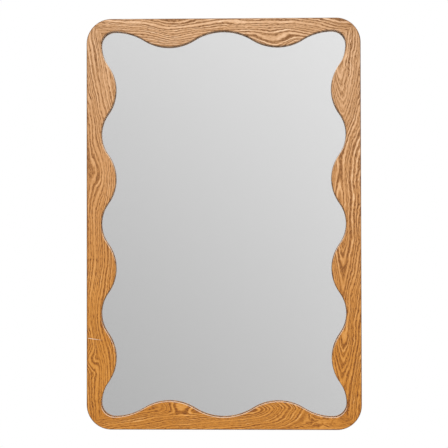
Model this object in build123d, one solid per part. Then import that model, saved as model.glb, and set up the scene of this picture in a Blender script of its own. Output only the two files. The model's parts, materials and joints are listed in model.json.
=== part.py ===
from build123d import *
from math import acos, asin, cos, degrees, radians, sin, sqrt
import os

# A wall mirror in a solid oak frame whose inner edge runs in waves.
#
# Four mitred members make the frame. Each corner is held by a hidden dowel and by
# two V nails driven in from behind. The mirror plate drops into a rebate from the
# back on rubber spacers, foam strips press it forward, and a board closes the back.
# Ten turn buttons hold the board in. Four strap hangers with swinging rings let the
# mirror hang upright or on its side, and four rubber bumpers keep it off the wall.
#
# Sizes are in millimetres. The origin is the centre of the outline on the surface
# of the wall: +X is to the right seen from the front, +Y into the wall, +Z up.

# ---- Frame members -------------------------------------------------------------
WIDTH = 610.0                # outside of the frame
HEIGHT = 914.0
DEPTH = 19.0                 # thickness of the oak
OUTER_CORNER = 55.0          # radius of the outside corners
FRONT_ROUND = 2.5            # round-over of the outside front edge
BACK_BREAK = 0.8             # small chamfer on the outside back edge

STILE_NARROW = 32.5          # width of a stile at the bottom of a scoop
STILE_WAVE = 32.5            # how far a crest stands in from there
STILE_WAVES = 4              # crests on each stile
STILE_SCOOP_SHARE = 0.45     # share of each slope that belongs to the scoop's arc
RAIL_NARROW = 28.0
RAIL_WAVE = 35.0
RAIL_WAVES = 2
RAIL_SCOOP_SHARE = 0.53
INNER_CORNER = 30.0          # radius of the opening's corners
INNER_BREAK = 1.2            # chamfer of the wavy front edge

# ---- What fills the rebate, from the front to the back -------------------------
LAND = 20.0                  # full-depth wood left outside the rebate
GLASS = 4.0                  # thickness of the mirror plate
SILVERING = 0.3              # silver, copper, paint and safety film together
FOAM = 1.7                   # compressed thickness of the foam strips
BOARD = 5.0                  # thickness of the backing board
GLASS_GAP = 1.5              # room round the plate, filled by the spacers
BOARD_GAP = 0.5              # room round the board
SPACER_LENGTH = 30.0
SPACER_INSET = 160.0         # from the outside corner to a spacer's middle
FOAM_WIDTH = 25.0
FOAM_INSET = 80.0            # from the rebate's ends to a strip's end
FOAM_STRIPS = 4

# ---- Corner joints -------------------------------------------------------------
DOWEL = 6.0                  # diameter
DOWEL_LENGTH = 30.0
DOWEL_END_ROOM = 0.5         # air left at each end of its hole
NAIL_LEG = 5.0               # length of each leg of a V nail
NAIL_THICKNESS = 0.7
NAIL_DEPTH = 7.0             # how far it goes into the wood
NAIL_HALF_ANGLE = 50.0       # between a leg and the mitre
NAIL_SINK = 0.2              # its end lies this far under the back face
NAIL_APEXES = (6.5, -2.5)    # of the two nails, outwards from the middle of the land
NAIL_COVER = 1.0             # wood between the nails and the dowel

# ---- Turn buttons --------------------------------------------------------------
BUTTON_THICKNESS = 1.2
BUTTON_BOSS = 6.5            # radius of the round end at the screw
BUTTON_TIP = 4.0             # radius of the other end
BUTTON_REACH = 18.0          # between the centres of the two ends
BUTTON_LIFT = 0.2            # running gap to the wood
BUTTON_INSET = 9.5           # from the rebate's wall to the screw
STILE_BUTTON_END = 146.0     # from the frame's end to the outer buttons
RAIL_BUTTON_ROOM = 38.0      # from a hanger's strap end to the nearest button

# ---- Screws --------------------------------------------------------------------
SCREW = 3.5                  # diameter of the shank
SCREW_LENGTH = 12.0
HEAD = 7.0                   # diameter of the head's underside
HEAD_TOP = 5.4               # diameter of its flat top
HEAD_HEIGHT = 2.2

# ---- Strap hangers -------------------------------------------------------------
STRAP_SHEET = 0.8            # thickness of the steel strip, folded double
STRAP_WIDTH = 12.0
STRAP_LENGTH = 34.0          # from the ring's axis to the end
STRAP_SLOPE = 4.5            # from the ring's axis to where the fold lies flat
FIRST_SCREW = 8.5            # from the ring's axis
SCREW_PITCH = 18.0
RING_WIRE = 2.5              # diameter
RING_INNER = 14.0            # clear width inside the ring
RING_BEND = 2.0              # centreline radius of the two corners
RING_ARM = 4.0               # straight run between corner and half circle
RING_SIDES = 12              # flats on the wire's section, close enough to round
STILE_HANGER_DROP = 200.0    # from the top of the frame to the ring's axis
RAIL_HANGER_INSET = 130.0    # from the left of the frame to the ring's axis

# ---- Bumpers -------------------------------------------------------------------
BUMPER_HEIGHT = 5.0
BUMPER_BASE = 12.0           # diameter on the wood
BUMPER_FACE = 10.0           # diameter at the wall
BUMPER_BREAK = 0.6           # chamfer of the rim at the wall
BUMPER_SIDE = 18.0           # from the frame's side to its middle
BUMPER_END = 75.0            # from the frame's end to its middle

# ---- Clearances ----------------------------------------------------------------
FIT = 0.05                   # round a shank, dowel, nail or ring bar, each side
SEAT = 0.3                   # between a ring at rest and what it lies on

# ---- What follows from them ----------------------------------------------------
BACK_Y = -BUMPER_HEIGHT
FRONT_Y = BACK_Y - DEPTH
REBATE_DEPTH = GLASS + SILVERING + FOAM + BOARD
REBATE_WIDTH = WIDTH - 2 * LAND
REBATE_HEIGHT = HEIGHT - 2 * LAND
REBATE_CORNER = OUTER_CORNER - LAND
LIP_Y = BACK_Y - REBATE_DEPTH                # the rebate's floor, where the glass lies
SILVER_Y = LIP_Y + GLASS                     # back of the glass
FOAM_Y = SILVER_Y + SILVERING                # back of the silvering
BOARD_Y = FOAM_Y + FOAM                      # front of the board

STILE_PITCH = (HEIGHT - 2 * (RAIL_NARROW + INNER_CORNER)) / STILE_WAVES
RAIL_PITCH = (WIDTH - 2 * (STILE_NARROW + INNER_CORNER)) / RAIL_WAVES

LOOP_INSIDE = RING_WIRE / 2 + FIT
LOOP_OUTSIDE = LOOP_INSIDE + STRAP_SHEET
RING_HEIGHT = LOOP_OUTSIDE + FIT             # of the ring's axis over the wood
RING_HALF = (RING_INNER + RING_WIRE) / 2     # half width to the wire's middle
RING_REACH = RING_BEND + RING_ARM + RING_HALF
RING_LEAN = degrees(asin((RING_HEIGHT - RING_WIRE / 2 - SEAT) / RING_REACH))

CORNERS = [(-1, 1), (1, 1), (-1, -1), (1, -1)]


# ---- Helpers -------------------------------------------------------------------
def slab(outline, back_y, thickness):
    """A plate of this outline that runs from back_y towards the front."""
    seat = Plane(origin=(0, back_y, 0), x_dir=(1, 0, 0), z_dir=(0, -1, 0))
    return extrude(seat * outline, thickness)


def on_back(x, z, along):
    """A plane on the wood's back face: local X runs along, local Z to the wall."""
    return Plane(origin=(x, BACK_Y, z), x_dir=along, z_dir=(0, 1, 0))


def group(parts):
    """Separate solids of one kind, kept in one node."""
    return Compound(children=[Part() + part for part in parts])


def save(name, shape):
    shape.label = name
    export_step(shape, f"parts/{name}.step")


# ---- Frame ---------------------------------------------------------------------
def wavy_side(start, along, inward, pitch, depth, waves, scoop_share):
    """Tangent arcs from the scoop at start over each crest to the last scoop."""
    def at(distance, rise):
        return start + along * distance + inward * rise

    half = pitch / 2
    arcs = []
    for wave in range(waves):
        left = wave * pitch
        right = left + pitch
        climb = at(left + scoop_share * half, scoop_share * depth)
        fall = at(right - scoop_share * half, scoop_share * depth)
        arcs.append(TangentArc(at(left, 0), climb, tangent=along))
        arcs.append(ThreePointArc(climb, at(left + half, depth), fall))
        arcs.append(TangentArc(at(right, 0), fall, tangent=-along))
    return arcs


def opening_outline():
    """The hole that the wavy inner edge leaves, corner to corner."""
    side = WIDTH / 2 - STILE_NARROW
    top = HEIGHT / 2 - RAIL_NARROW
    up = Vector(0, 1)
    right = Vector(1, 0)
    edges = []
    for hand in (-1, 1):
        foot = Vector(hand * side, -top + INNER_CORNER)
        edges += wavy_side(foot, up, right * -hand, STILE_PITCH, STILE_WAVE, STILE_WAVES, STILE_SCOOP_SHARE)
        end = Vector(-side + INNER_CORNER, hand * top)
        edges += wavy_side(end, right, up * -hand, RAIL_PITCH, RAIL_WAVE, RAIL_WAVES, RAIL_SCOOP_SHARE)
    for across, rise in CORNERS:
        leave = Vector(across * side, rise * (top - INNER_CORNER))
        arrive = Vector(across * (side - INNER_CORNER), rise * top)
        edges.append(TangentArc(leave, arrive, tangent=(0, rise)))
    return make_face(edges)


def rebate_outline(gap):
    """The rebate's outline, or that of what drops into it with a gap all round."""
    return RectangleRounded(REBATE_WIDTH - 2 * gap, REBATE_HEIGHT - 2 * gap, REBATE_CORNER - gap)


def whole_frame():
    """The four members as one ring, before the mitres and the drilling."""
    frame = slab(RectangleRounded(WIDTH, HEIGHT, OUTER_CORNER), BACK_Y, DEPTH)
    frame = fillet(frame.faces().sort_by(Axis.Y)[0].edges(), FRONT_ROUND)
    frame = chamfer(frame.faces().sort_by(Axis.Y)[-1].edges(), BACK_BREAK)
    frame -= slab(opening_outline(), BACK_Y, DEPTH)
    wavy_edge = frame.faces().sort_by(Axis.Y)[0].inner_wires()[0].edges()
    frame = frame.chamfer(INNER_BREAK, None, wavy_edge)
    return frame - slab(rebate_outline(0), BACK_Y, REBATE_DEPTH)


def mitre_block(name):
    """The space of one member: the frame's outline cut at 45 degrees from its corners."""
    side = WIDTH / 2
    end = HEIGHT / 2
    reach = STILE_NARROW + STILE_WAVE + RAIL_NARROW + RAIL_WAVE
    shapes = {
        "top_rail": [(-side, end), (-side + reach, end - reach), (side - reach, end - reach), (side, end)],
        "right_stile": [(side, end), (side - reach, end - reach), (side - reach, reach - end), (side, -end)],
    }
    shapes["bottom_rail"] = [(-x, -z) for x, z in shapes["top_rail"]]
    shapes["left_stile"] = [(-x, -z) for x, z in shapes["right_stile"]]
    return slab(make_face(Polyline(*shapes[name], close=True)), BACK_Y, DEPTH)


def corner_point(across, rise, radius):
    """A point on the mitre, at this radius from the centre of the outside corner."""
    step = radius / sqrt(2)
    return (across * (WIDTH / 2 - OUTER_CORNER + step), rise * (HEIGHT / 2 - OUTER_CORNER + step))


# ---- Corner joints -------------------------------------------------------------
def corner_dowel(across, rise, room):
    """The dowel through one mitre, or its hole when it is given room."""
    x, z = corner_point(across, rise, OUTER_CORNER - LAND / 2)
    depth = NAIL_SINK + NAIL_DEPTH + NAIL_COVER + DOWEL / 2
    seat = Plane(origin=(x, BACK_Y - depth, z), z_dir=(across, 0, -rise))
    end_room = DOWEL_END_ROOM if room else 0
    return seat * Cylinder(DOWEL / 2 + room, DOWEL_LENGTH + 2 * end_room)


def v_nail(across, rise, offset, room):
    """A bent steel strip across the mitre, or its slot when it is given room."""
    x, z = corner_point(across, rise, OUTER_CORNER - LAND / 2 + offset)
    turn = radians(NAIL_HALF_ANGLE)
    leg = NAIL_LEG + room
    wall = NAIL_THICKNESS + 2 * room
    apex = -room / sin(turn)
    end = (apex + leg * cos(turn), leg * sin(turn))
    inner = (end[0] + wall * sin(turn), end[1] - wall * cos(turn))
    throat = (apex + wall / sin(turn), 0)
    outline = [(apex, 0), end, inner, throat, (inner[0], -inner[1]), (end[0], -end[1])]
    top = 0 if room else -NAIL_SINK
    bottom = -NAIL_SINK - NAIL_DEPTH - room
    chevron = extrude(make_face(Polyline(*outline, close=True)), bottom - top)
    return on_back(x, z, (-across, 0, -rise)) * (Pos(0, 0, top) * chevron)


def corner_nails(room=0.0):
    return [v_nail(*corner, apex, room) for corner in CORNERS for apex in NAIL_APEXES]


# ---- Glazing -------------------------------------------------------------------
def glass_spacers():
    """Rubber pads between the plate's edges and the rebate's walls, two to a side."""
    x = REBATE_WIDTH / 2 - GLASS_GAP / 2
    z = REBATE_HEIGHT / 2 - GLASS_GAP / 2
    x_in = WIDTH / 2 - SPACER_INSET
    z_in = HEIGHT / 2 - SPACER_INSET
    y = LIP_Y + GLASS / 2
    pads = []
    for across, rise in CORNERS:
        pads.append(Pos(across * x, y, rise * z_in) * Box(GLASS_GAP, GLASS, SPACER_LENGTH))
        pads.append(Pos(across * x_in, y, rise * z) * Box(SPACER_LENGTH, GLASS, GLASS_GAP))
    return pads


def foam_strips():
    """Upright strips that fill the space between the silvering and the board."""
    length = REBATE_HEIGHT - 2 * FOAM_INSET
    pitch = REBATE_WIDTH / FOAM_STRIPS
    first = -REBATE_WIDTH / 2 + pitch / 2
    strip = Box(FOAM_WIDTH, FOAM, length)
    return [Pos(first + index * pitch, FOAM_Y + FOAM / 2, 0) * strip for index in range(FOAM_STRIPS)]


# ---- Screws --------------------------------------------------------------------
def screw(head_under):
    """A pan-head screw along local Z; its head's flat underside is at head_under."""
    half = SCREW / 2
    tip = head_under - SCREW_LENGTH
    top = head_under + HEAD_HEIGHT
    outline = [(0, top), (0, tip), (half, tip), (half, head_under), (HEAD / 2, head_under), (HEAD_TOP / 2, top)]
    return revolve(Plane.XZ * make_face(Polyline(*outline, close=True)), Axis.Z)


def screw_hole(head_under):
    """Room for a screw's shank, down from the head."""
    length = SCREW_LENGTH + FIT
    return Pos(0, 0, head_under - length / 2) * Cylinder(SCREW / 2 + FIT, length)


# ---- Turn buttons --------------------------------------------------------------
def button_plate():
    """A flat pear shape with its screw hole at the origin and its tip along local X."""
    spread = acos((BUTTON_BOSS - BUTTON_TIP) / BUTTON_REACH)
    boss = (BUTTON_BOSS * cos(spread), BUTTON_BOSS * sin(spread))
    tip = (BUTTON_REACH + BUTTON_TIP * cos(spread), BUTTON_TIP * sin(spread))
    sides = [boss, tip, (tip[0], -tip[1]), (boss[0], -boss[1])]
    outline = make_face(Polyline(*sides, close=True)) + Circle(BUTTON_BOSS)
    outline += Pos(BUTTON_REACH, 0) * Circle(BUTTON_TIP)
    plate = Pos(0, 0, BUTTON_LIFT) * extrude(outline, BUTTON_THICKNESS)
    return plate - Cylinder(SCREW / 2 + FIT, 4 * BUTTON_THICKNESS)


def button_places():
    """Name and plane of each turn button; local X points in over the board."""
    x = REBATE_WIDTH / 2 + BUTTON_INSET
    z = REBATE_HEIGHT / 2 + BUTTON_INSET
    high = HEIGHT / 2 - STILE_BUTTON_END
    along = WIDTH / 2 - RAIL_HANGER_INSET - STRAP_LENGTH - RAIL_BUTTON_ROOM
    places = {}
    for side, hand in (("left", -1), ("right", 1)):
        for level, height in (("upper", high), ("middle", 0), ("lower", -high)):
            places[f"turn_button_{side}_{level}"] = on_back(hand * x, height, (-hand, 0, 0))
    for end, rise in (("top", 1), ("bottom", -1)):
        for side, hand in (("left", -1), ("right", 1)):
            places[f"turn_button_{end}_{side}"] = on_back(hand * along, rise * z, (0, 0, -rise))
    return places


# ---- Strap hangers -------------------------------------------------------------
def hanger_strap():
    """A doubled steel strip with a rolled loop at the local origin; it runs to -X."""
    leaf = 2 * STRAP_SHEET
    flat = Vector(-STRAP_SLOPE, leaf)
    centre = Vector(0, RING_HEIGHT)
    # the upper leaf leaves the loop on a tangent and comes down to the lower one
    line = flat - centre
    bend = degrees(acos(LOOP_OUTSIDE / line.length))
    touch = centre + line.normalized().rotate(Axis.Z, -bend) * LOOP_OUTSIDE
    outline = [(0, 0), (-STRAP_LENGTH, 0), (-STRAP_LENGTH, leaf), flat, touch, centre]
    section = make_face(Polyline(*outline, close=True)) + Pos(0, RING_HEIGHT) * Circle(LOOP_OUTSIDE)
    section -= Pos(0, RING_HEIGHT) * Circle(LOOP_INSIDE)
    side_view = Plane(origin=(0, STRAP_WIDTH / 2, 0), x_dir=(1, 0, 0), z_dir=(0, -1, 0))
    strap = extrude(side_view * section, STRAP_WIDTH)
    straight = STRAP_LENGTH - STRAP_WIDTH / 2
    from_above = Rectangle(straight + LOOP_OUTSIDE, STRAP_WIDTH, align=(Align.MIN, Align.CENTER))
    from_above = Pos(-straight, 0) * (from_above + Circle(STRAP_WIDTH / 2))
    strap &= extrude(from_above, RING_HEIGHT + LOOP_OUTSIDE)
    for place in (FIRST_SCREW, FIRST_SCREW + SCREW_PITCH):
        strap -= Pos(-place, 0, 0) * Cylinder(SCREW / 2 + FIT, 4 * leaf)
    return strap


def hanger_ring():
    """A D of round wire on the loop's axis that leans to rest near the wood."""
    shoulder = RING_HALF - RING_BEND
    start = RING_BEND + RING_ARM
    path = Wire([
        Line((0, -shoulder), (0, shoulder)),
        TangentArc((0, shoulder), (RING_BEND, RING_HALF), tangent=(0, 1)),
        Line((RING_BEND, RING_HALF), (start, RING_HALF)),
        ThreePointArc((start, RING_HALF), (start + RING_HALF, 0), (start, -RING_HALF)),
        Line((start, -RING_HALF), (RING_BEND, -RING_HALF)),
        TangentArc((RING_BEND, -RING_HALF), (0, -shoulder), tangent=(-1, 0)),
    ])
    section = Plane(origin=(0, -shoulder, 0), z_dir=(0, 1, 0)) * RegularPolygon(RING_WIRE / 2, RING_SIDES)
    ring = sweep(section, path=path)
    return Pos(0, 0, RING_HEIGHT) * (Rot(0, RING_LEAN, 0) * ring)


def hanger_places():
    """Name and plane of each hanger; local X is the way its ring points."""
    x = WIDTH / 2 - LAND / 2
    z = HEIGHT / 2 - LAND / 2
    drop = HEIGHT / 2 - STILE_HANGER_DROP
    inset = RAIL_HANGER_INSET - WIDTH / 2
    return {
        "left_stile": on_back(-x, drop, (0, 0, 1)),
        "right_stile": on_back(x, drop, (0, 0, 1)),
        "top_rail": on_back(inset, z, (-1, 0, 0)),
        "bottom_rail": on_back(inset, -z, (-1, 0, 0)),
    }


# ---- Bumpers -------------------------------------------------------------------
def bumper():
    """A low rubber cone on local Z with a flat face towards the wall."""
    cone = Pos(0, 0, BUMPER_HEIGHT / 2) * Cone(BUMPER_BASE / 2, BUMPER_FACE / 2, BUMPER_HEIGHT)
    return chamfer(cone.faces().sort_by(Axis.Z)[-1].edges(), BUMPER_BREAK)


def bumper_places():
    """The plane of each bumper on the back of the stiles."""
    x = WIDTH / 2 - BUMPER_SIDE
    z = HEIGHT / 2 - BUMPER_END
    return [on_back(across * x, rise * z, (1, 0, 0)) for across, rise in CORNERS]


# ---- Build ---------------------------------------------------------------------
def main():
    os.makedirs("parts", exist_ok=True)

    button_head = BUTTON_LIFT + BUTTON_THICKNESS + FIT
    strap_head = 2 * STRAP_SHEET
    strap_screws = [Pos(-place, 0, 0) for place in (FIRST_SCREW, FIRST_SCREW + SCREW_PITCH)]
    buttons = button_places()
    hangers = hanger_places()

    # members: the ring of wood with every hole, cut apart at the mitres
    drilling = [corner_dowel(*corner, FIT) for corner in CORNERS]
    drilling += corner_nails(FIT)
    drilling += [seat * screw_hole(button_head) for seat in buttons.values()]
    drilling += [seat * place * screw_hole(strap_head) for seat in hangers.values() for place in strap_screws]
    frame = whole_frame()
    for name in ("top_rail", "bottom_rail", "left_stile", "right_stile"):
        save(name, frame & mitre_block(name) - drilling)

    save("corner_dowels", group([corner_dowel(*corner, 0.0) for corner in CORNERS]))
    save("corner_v_nails", group(corner_nails()))

    save("mirror_glass", slab(rebate_outline(GLASS_GAP), SILVER_Y, GLASS))
    save("silvered_backing", slab(rebate_outline(GLASS_GAP), FOAM_Y, SILVERING))
    save("glass_edge_spacers", group(glass_spacers()))
    save("foam_strips", group(foam_strips()))
    save("backing_board", slab(rebate_outline(BOARD_GAP), BACK_Y, BOARD))

    for name, seat in buttons.items():
        save(name, seat * button_plate())
    save("turn_button_screws", group([seat * screw(button_head) for seat in buttons.values()]))

    for name, seat in hangers.items():
        save(f"hanger_strap_{name}", seat * hanger_strap())
        save(f"hanger_ring_{name}", seat * hanger_ring())
    hanger_screws = [seat * place * screw(strap_head) for seat in hangers.values() for place in strap_screws]
    save("hanger_screws", group(hanger_screws))
    save("wall_bumpers", group([seat * bumper() for seat in bumper_places()]))


main()
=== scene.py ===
# %% [markdown]
# # A wall mirror with a waved oak frame
#
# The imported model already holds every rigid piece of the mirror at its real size. This
# lesson leaves those sizes alone and works on the looks: the studio, the grain and lacquer
# of the oak, the plate of glass with its silver, and the small steel fittings on the back.
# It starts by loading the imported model, which nothing later may move.

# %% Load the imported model
import json
import math
import bmesh
import bpy
from mathutils import Matrix, Quaternion, Vector

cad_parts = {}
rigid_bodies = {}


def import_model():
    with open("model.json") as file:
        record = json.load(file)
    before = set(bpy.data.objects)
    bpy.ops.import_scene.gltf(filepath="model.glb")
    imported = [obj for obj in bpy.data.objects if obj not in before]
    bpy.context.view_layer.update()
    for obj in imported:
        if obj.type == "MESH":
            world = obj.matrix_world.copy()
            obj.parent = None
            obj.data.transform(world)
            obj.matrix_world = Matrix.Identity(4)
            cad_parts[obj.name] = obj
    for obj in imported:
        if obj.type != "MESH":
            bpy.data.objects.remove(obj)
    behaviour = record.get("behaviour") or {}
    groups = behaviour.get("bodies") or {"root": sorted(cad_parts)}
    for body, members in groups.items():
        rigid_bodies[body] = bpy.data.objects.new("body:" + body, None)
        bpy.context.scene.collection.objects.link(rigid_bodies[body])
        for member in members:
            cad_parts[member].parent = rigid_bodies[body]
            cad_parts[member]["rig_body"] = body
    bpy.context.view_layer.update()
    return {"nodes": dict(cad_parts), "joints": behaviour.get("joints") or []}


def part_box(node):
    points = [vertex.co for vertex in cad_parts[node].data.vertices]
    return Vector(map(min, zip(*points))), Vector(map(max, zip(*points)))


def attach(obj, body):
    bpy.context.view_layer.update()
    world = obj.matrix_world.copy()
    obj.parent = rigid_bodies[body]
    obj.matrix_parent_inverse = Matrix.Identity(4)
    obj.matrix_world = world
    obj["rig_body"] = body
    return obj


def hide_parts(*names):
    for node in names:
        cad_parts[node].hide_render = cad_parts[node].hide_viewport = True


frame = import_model()
MM = 0.001

# %% [markdown]
# ## Measures that the rest is worked out from
#
# Everything is placed from the model's own boxes and joints, so that a changed size in the
# model carries through. The wood's front and back faces and its outline are needed often.

# %% Read the main measures from the model
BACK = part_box("backing_board")[1].y
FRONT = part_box("top_rail")[0].y
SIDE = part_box("right_stile")[1].x
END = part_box("top_rail")[1].z
print(f"outline {2 * SIDE:.3f} x {2 * END:.3f} m, wood from y {FRONT:.3f} to {BACK:.3f}")

# %% [markdown]
# ## Camera
#
# A mirror is looked at nearly square on, from far enough away that its sides stay
# parallel. A long lens does that: the camera stands 2.4 m in front of the wood, a touch to
# the right of the middle and below it, and the lens is chosen so that the view is as wide
# as VIEW_WIDTH on the wood. It is rolled by a trace, as a camera held by hand is.

# %% Place the camera
CAMERA_DISTANCE = 2.4
VIEW_WIDTH = 0.9940
AIM_LOW = 1.05 * MM
AIM_RIGHT = 1.0 * MM
CAMERA_RIGHT = math.radians(1.3)
CAMERA_BELOW = math.radians(0.75)
CAMERA_ROLL = math.radians(-0.11)

camera_data = bpy.data.cameras.new("camera")
camera_data.sensor_width = 36.0
camera_data.lens = camera_data.sensor_width * CAMERA_DISTANCE / VIEW_WIDTH
camera = bpy.data.objects.new("camera", camera_data)
towards_camera = Vector((math.sin(CAMERA_RIGHT), -1, -math.sin(CAMERA_BELOW))).normalized()
camera.location = Vector((AIM_RIGHT, FRONT, -AIM_LOW)) + towards_camera * CAMERA_DISTANCE
roll = Quaternion((0, 0, 1), CAMERA_ROLL)
camera.rotation_euler = (towards_camera.to_track_quat("Z", "Y") @ roll).to_euler()
bpy.context.scene.collection.objects.link(camera)
bpy.context.scene.camera = camera
bpy.context.scene.view_settings.view_transform = "Standard"
print(f"lens {camera_data.lens:.1f} mm")

# %% [markdown]
# ## Short words for shader nodes
#
# Materials in Blender are graphs. Written out in full, each node takes several lines, so
# these helpers add a node, set it and wire it in one call. An input may be a plain value
# or the output of another node. Later steps add more such words where they need them.

# %% Node helpers
def put(tree, kind, inputs=None, **settings):
    """Adds a node with these settings and feeds its inputs."""
    node = tree.nodes.new(kind)
    for name, value in settings.items():
        setattr(node, name, value)
    for name, value in (inputs or {}).items():
        if isinstance(value, bpy.types.NodeSocket):
            tree.links.new(value, node.inputs[name])
        else:
            node.inputs[name].default_value = value
    return node


def calc(tree, operation, *values):
    """One step of arithmetic."""
    return put(tree, "ShaderNodeMath", dict(enumerate(values)), operation=operation).outputs[0]


def aim(tree, operation, *values, out=0):
    """One step of arithmetic on vectors."""
    return put(tree, "ShaderNodeVectorMath", dict(enumerate(values)), operation=operation).outputs[out]


def xyz(tree, vector):
    """The three parts of a vector."""
    return put(tree, "ShaderNodeSeparateXYZ", {0: vector}).outputs


def fade(tree, value, low, high, start=0.0, end=1.0):
    """Goes smoothly from start, at low, to end, at high."""
    names = ("Value", "From Min", "From Max", "To Min", "To Max")
    inputs = dict(zip(names, (value, low, high, start, end)))
    return put(tree, "ShaderNodeMapRange", inputs, interpolation_type="SMOOTHSTEP").outputs["Result"]


def blend(tree, share, first, second):
    """Mixes two colours."""
    inputs = {0: share, 6: first, 7: second}
    return put(tree, "ShaderNodeMix", inputs, data_type="RGBA").outputs[2]


# %% [markdown]
# ## Studio
#
# The background is pure white to the camera, and the object stands between two wide pale
# screens, one in front and one behind, so that a colour on its front or back shows about
# as it is written and its thin sides fall a little darker. A mirror has no looks of its
# own: it shows the room in front of it. So glossy rays meet a pale room that grows brighter
# towards the upper right.

# %% Light the room
FILL_ROUND = 0.18                # light from all round
FILL_SCREENS = 1.2               # added straight in front and behind
FILL_TOP = 0.32                  # added from above and taken away from below
ROOM_DARK = 0.335                # what glossy rays meet at the lower left
ROOM_BRIGHT = 0.935              # and at the upper right
ROOM_SLOPE = (1.3, 0.0, 1.43)    # the way in which it grows brighter
ROOM_ROUND = 0.22                # added to the sides, above and below
WHITE = (1, 1, 1, 1)

world = bpy.data.worlds.new("studio")
world.use_nodes = True
bpy.context.scene.world = world
sky = world.node_tree
sky.nodes.clear()
way = put(sky, "ShaderNodeTexCoord").outputs["Generated"]
_, ahead, upward = xyz(sky, way)
squarely = calc(sky, "MULTIPLY", ahead, ahead)
fill = calc(sky, "MULTIPLY_ADD", squarely, FILL_SCREENS, FILL_ROUND)
fill = calc(sky, "MAXIMUM", calc(sky, "MULTIPLY_ADD", upward, FILL_TOP, fill), 0.0)
slope = aim(sky, "DOT_PRODUCT", way, ROOM_SLOPE, out="Value")
room = fade(sky, slope, -1.0, 1.0, ROOM_DARK, ROOM_BRIGHT)
room = calc(sky, "ADD", room, calc(sky, "MULTIPLY_ADD", squarely, -ROOM_ROUND, ROOM_ROUND))
rays = put(sky, "ShaderNodeLightPath").outputs
shiny = calc(sky, "MAXIMUM", rays["Is Glossy Ray"], rays["Is Transmission Ray"])
seen = blend(sky, shiny, fill, room)
seen = blend(sky, rays["Is Camera Ray"], seen, WHITE)
background = put(sky, "ShaderNodeBackground", {"Color": seen})
put(sky, "ShaderNodeOutputWorld", {"Surface": background.outputs[0]})
print("studio:", len(sky.nodes), "nodes")

# %% [markdown]
# ## Lamps
#
# The screens alone would light every face flatly. Three soft square lamps add a little light
# and shade: one in front and above, one behind for the fittings on the back, and one
# overhead, which catches the slanted wood that faces up.

# %% Hang the lamps
def lamp(name, place, size, power):
    """A square lamp, in metres and watts, that points at the mirror's middle."""
    data = bpy.data.lights.new(name, "AREA")
    data.size = size
    data.energy = power
    thing = bpy.data.objects.new(name, data)
    thing.location = place
    thing.rotation_euler = Vector(place).to_track_quat("Z", "Y").to_euler()
    bpy.context.scene.collection.objects.link(thing)


lamp("key", (0.0, -2.1, 2.0), 1.1, 16)
lamp("rim", (-1.4, 2.1, 1.7), 1.1, 34)
lamp("overhead", (0.0, -0.35, 2.6), 0.5, 20)
print("lamps:", ", ".join(light.name for light in bpy.data.lights))

# %% [markdown]
# ## Floor
#
# The floor is one large disc that lies well below the mirror, out of the straight view. Seen
# from higher up it keeps a soft shadow in its middle.

# %% Lay the floor
FLOOR_DROP = 0.85                # below the mirror's foot
FLOOR_RADIUS = 2.8
FLOOR_SIDES = 96


def new_piece(name, bm, smooth_angle=None):
    """Turns a bmesh into an object at the origin; folds up to smooth_angle are shaded smooth."""
    mesh = bpy.data.meshes.new(name)
    bm.to_mesh(mesh)
    bm.free()
    if smooth_angle is not None:
        mesh.polygons.foreach_set("use_smooth", [True] * len(mesh.polygons))
        mesh.set_sharp_from_angle(angle=math.radians(smooth_angle))
    piece = bpy.data.objects.new(name, mesh)
    bpy.context.scene.collection.objects.link(piece)
    return piece


floor_mesh = bmesh.new()
bmesh.ops.create_circle(floor_mesh, cap_ends=True, segments=FLOOR_SIDES, radius=FLOOR_RADIUS)
bmesh.ops.translate(floor_mesh, vec=(0, 0, -END - FLOOR_DROP), verts=floor_mesh.verts)
floor = new_piece("floor", floor_mesh)
print(f"floor at z {-END - FLOOR_DROP:.2f} m")

# %% [markdown]
# ## Floor, its finish
#
# Towards its rim the floor turns clear, so that the room behind it shows and no edge is
# seen, neither straight nor in the mirror. How clear it is depends on the distance from its
# middle, which comes from the place on the object.

# %% Turn the floor's rim clear
FLOOR_SOLID = 0.25               # share of the radius up to which the floor is solid
FLOOR_GONE = 0.95                # and from which it is clear
FLOOR_COLOUR = (0.94, 0.94, 0.93, 1)


def new_material(name):
    """A material with an empty node tree."""
    material = bpy.data.materials.new(name)
    material.use_nodes = True
    material.node_tree.nodes.clear()
    return material, material.node_tree


def place_of(tree):
    """Where a point lies on the object, in metres."""
    return put(tree, "ShaderNodeTexCoord").outputs["Object"]


floor_material, tree = new_material("pale_floor")
distance = aim(tree, "LENGTH", aim(tree, "MULTIPLY", place_of(tree), (1, 1, 0)), out="Value")
rim = fade(tree, distance, FLOOR_SOLID * FLOOR_RADIUS, FLOOR_GONE * FLOOR_RADIUS)
plain = put(tree, "ShaderNodeBsdfDiffuse", {"Color": FLOOR_COLOUR}).outputs[0]
clear_rim = put(tree, "ShaderNodeBsdfTransparent").outputs[0]
mixed = put(tree, "ShaderNodeMixShader", {0: rim, 1: plain, 2: clear_rim}).outputs[0]
put(tree, "ShaderNodeOutputMaterial", {"Surface": mixed})
floor.data.materials.append(floor_material)
print("floor finish:", len(tree.nodes), "nodes")

# %% [markdown]
# ## Oak, the idea
#
# A board shows a slice through a tree. Its growth rings are cones round the tree's middle,
# the pith, so a flat slice cuts them in long V shapes near the middle of the board and in
# straight lines near its edges. Where the trunk swells, round an old branch or a bend, the
# rings are pushed aside and the lines flow round the place. Each ring starts with open,
# dark earlywood and ends in dense, pale latewood, and the pores lie in the earlywood along
# the grain. One node group works all that out in three dimensions, so that faces, edges and
# hollows agree. The next four steps fill it.

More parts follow.
